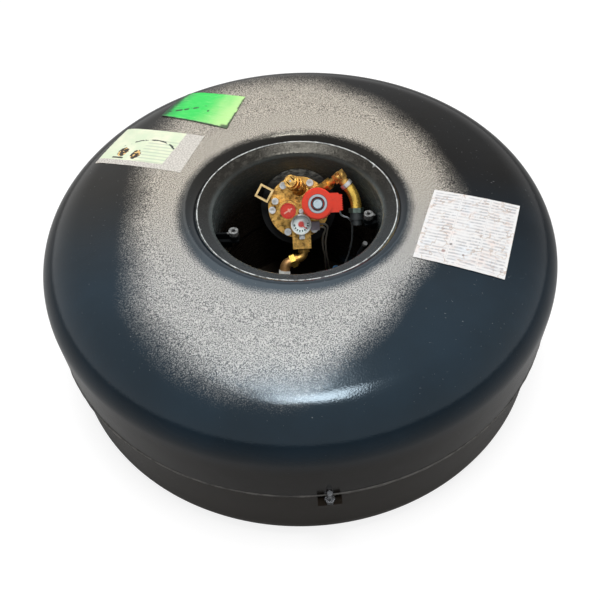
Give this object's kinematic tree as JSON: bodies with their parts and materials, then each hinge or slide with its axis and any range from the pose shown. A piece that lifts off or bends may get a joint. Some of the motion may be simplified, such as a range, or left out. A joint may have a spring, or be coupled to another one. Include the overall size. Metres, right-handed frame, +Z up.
{
  "type": "toroidal autogas tank",
  "caption": "Ring-shaped autogas tank in glossy black textured paint, with a brass multivalve, red coil and gauge in its central well",
  "frame": {"origin": "middle of the base, on the surface that the tank stands on", "axes": "+Z up along the tank's axis; the valve sits on the +Y side of the well; +X to the right seen from the valve's open side"},
  "size_m": [0.63, 0.6384, 0.2505],
  "materials": {
    "tank_paint": "glossy black orange-peel paint, dusty and scratched",
    "neck_paint": "black primer, dusty",
    "worn_steel": "bare weld edge where the paint is chipped",
    "zinc_steel": "zinc-plated, dulled",
    "spring_steel": "plain steel",
    "valve_brass": "machined brass, tarnished",
    "bright_brass": "machined brass, bright",
    "strap_brass": "pale brass sheet",
    "copper_tube": "copper alloy, tarnished",
    "copper_wire": "enamelled winding wire",
    "red_plastic": "red moulding, slightly faded",
    "pale_plastic": "off-white moulding",
    "grey_plastic": "grey connector moulding",
    "blue_plastic": "blue insulation of a crimped ring",
    "float_plastic": "dark closed foam",
    "clear_lens": "clear window over the dial",
    "dial_card": "pale green dial with dark marks",
    "needle_red": "red pointer",
    "white_label": "printed adhesive label, stained",
    "green_foil": "green adhesive label, faded to one side",
    "pale_label": "pale green adhesive label, torn",
    "seal_rubber": "black gasket",
    "hose_rubber": "black hose stub",
    "pipe_coat": "dark coated copper pipe",
    "lead_sheath": "black lead",
    "grey_sheath": "grey lead"
  },
  "bodies": {
    "tank": {"upper_shell": "tank_paint", "lower_shell": "tank_paint", "girth_weld": "tank_paint", "well_tube": "tank_paint", "rim_weld": "worn_steel", "well_floor": "tank_paint", "valve_neck": "neck_paint", "left_lid_bracket": "zinc_steel", "right_lid_bracket": "zinc_steel", "side_lug": "tank_paint", "lug_stud": "zinc_steel", "lug_nut": "zinc_steel", "data_label": "white_label", "green_label": "green_foil", "approval_label": "pale_label", "flange_gasket": "seal_rubber", "valve_body": "valve_brass", "flange_screws": "zinc_steel", "port_plug": "zinc_steel", "loop_bracket": "strap_brass", "relief_body": "valve_brass", "relief_spring": "spring_steel", "coil_core_tube": "spring_steel", "plunger_spring": "spring_steel", "coil_winding": "copper_wire", "coil_body": "red_plastic", "coil_washer": "zinc_steel", "coil_nut": "pale_plastic", "gauge_housing": "pale_plastic", "gauge_dial": "dial_card", "gauge_lens": "clear_lens", "gauge_screws": "zinc_steel", "sensor_plug": "grey_plastic", "gauge_tube": "spring_steel", "pickup_tube": "copper_tube", "pickup_filter": "spring_steel", "inlet_elbow": "valve_brass", "inlet_collar": "zinc_steel", "inlet_bend": "bright_brass", "inlet_end_nut": "bright_brass", "inlet_hose": "hose_rubber", "outlet_elbow": "valve_brass", "outlet_union_nut": "bright_brass", "outlet_bend": "copper_tube", "outlet_end_nut": "zinc_steel", "cut_pipe": "pipe_coat", "pipe_ferrule": "zinc_steel", "gauge_lead_a": "lead_sheath", "gauge_lead_b": "lead_sheath", "ring_terminal": "blue_plastic", "coil_lead": "grey_sheath", "lead_sleeve": "pale_plastic"},
    "tap": {"tap_knob": "red_plastic", "tap_stem": "spring_steel"},
    "float_assembly": {"float_arm": "spring_steel", "float": "float_plastic"},
    "pointer": {"gauge_needle": "needle_red"},
    "relief": {"relief_poppet": "zinc_steel"},
    "plunger": {"coil_plunger": "spring_steel"}
  },
  "joints": [
    {"name": "tap_turn", "type": "hinge", "parent": "tank", "child": "tap", "pos_m": [-0.0115, 0.0692, 0.16886], "axis": [0, -0.766, 0.6428], "range_deg": [-540, 0]},
    {"name": "float_swing", "type": "hinge", "parent": "tank", "child": "float_assembly", "pos_m": [0.0044, 0.05724, 0.15461], "axis": [0, -0.766, 0.6428], "range_deg": [-115, 0]},
    {"name": "needle_turn", "type": "hinge", "parent": "tank", "child": "pointer", "pos_m": [0.0044, 0.05724, 0.15461], "axis": [0, -0.766, 0.6428], "range_deg": [-115, 0]},
    {"name": "relief_lift", "type": "slide", "parent": "tank", "child": "relief", "axis": [-0.332, -0.463, 0.8218], "range_m": [0, 0.003], "stiffness_N_per_m": 500, "springref_m": -0.004, "deforming": ["relief_spring"]},
    {"name": "plunger_slide", "type": "slide", "parent": "tank", "child": "plunger", "axis": [0, -0.766, 0.6428], "range_m": [0, 0.002], "stiffness_N_per_m": 200, "springref_m": -0.003, "deforming": ["plunger_spring"]}
  ],
  "couplings": [
    {"joint": "needle_turn", "follows": "float_swing", "ratio": 1}
  ]
}
